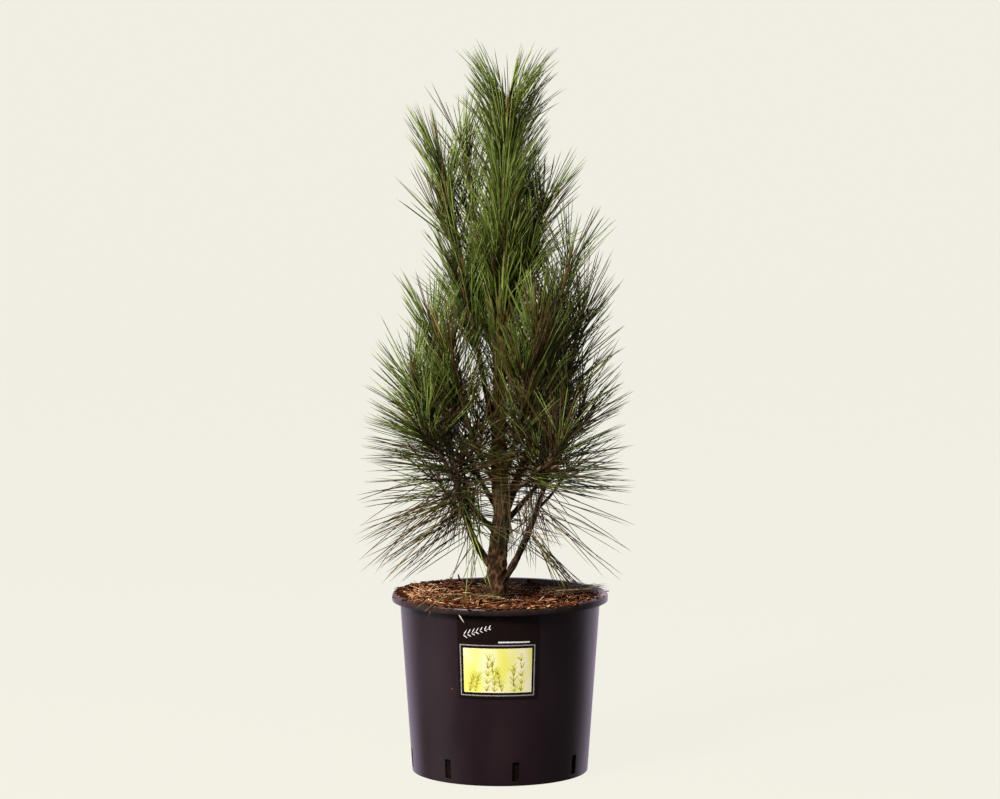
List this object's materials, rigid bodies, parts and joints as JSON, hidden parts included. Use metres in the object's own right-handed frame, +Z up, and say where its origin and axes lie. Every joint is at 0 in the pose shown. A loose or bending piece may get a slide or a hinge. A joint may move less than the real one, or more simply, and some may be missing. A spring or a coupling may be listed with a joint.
{
  "type": "potted austrian pine",
  "caption": "Young tower-shaped long-needled pine with a straight trunk, upswept boughs and needle foliage, standing in a round black nursery pot topped with bark mulch.",
  "frame": {"origin": "middle of the pot's flat underside", "axes": "+Z up along the trunk; the label faces -Y; +X is to the viewer's right"},
  "size_m": [0.3691, 0.3302, 0.9447],
  "materials": {
    "pot_plastic": "satin black-brown moulded plastic",
    "soil": "rough, dark",
    "mulch": "rough shredded bark",
    "label_print": "smooth printed film",
    "bark": "scaly brown bark",
    "needles": "waxy dark green needles"
  },
  "bodies": {
    "root": {"pot": "pot_plastic", "potting_soil": "soil", "bark_mulch": "mulch", "label": "label_print", "trunk": "bark", "bough_left_low": "bark", "bough_right_low": "bark", "bough_left_out": "bark", "bough_right_out": "bark", "bough_right_high": "bark", "bough_back_left": "bark", "bough_back_right": "bark", "bough_right_front": "bark", "bough_front_left": "bark", "bough_front_right": "bark", "bough_left_high": "bark", "bough_back_mid": "bark", "bough_front_high": "bark", "bough_right_top": "bark", "bough_back_high": "bark", "bough_left_top": "bark", "foliage_left_low": "needles", "foliage_right_low": "needles", "foliage_left_out": "needles", "foliage_right_out": "needles", "foliage_right_high": "needles", "foliage_back_left": "needles", "foliage_back_right": "needles", "foliage_right_front": "needles", "foliage_front_left": "needles", "foliage_front_right": "needles", "foliage_left_high": "needles", "foliage_back_mid": "needles", "foliage_front_high": "needles", "foliage_right_top": "needles", "foliage_back_high": "needles", "foliage_left_top": "needles", "foliage_leader_low": "needles", "foliage_leader_mid": "needles", "foliage_leader_top": "needles"}
  },
  "joints": []
}
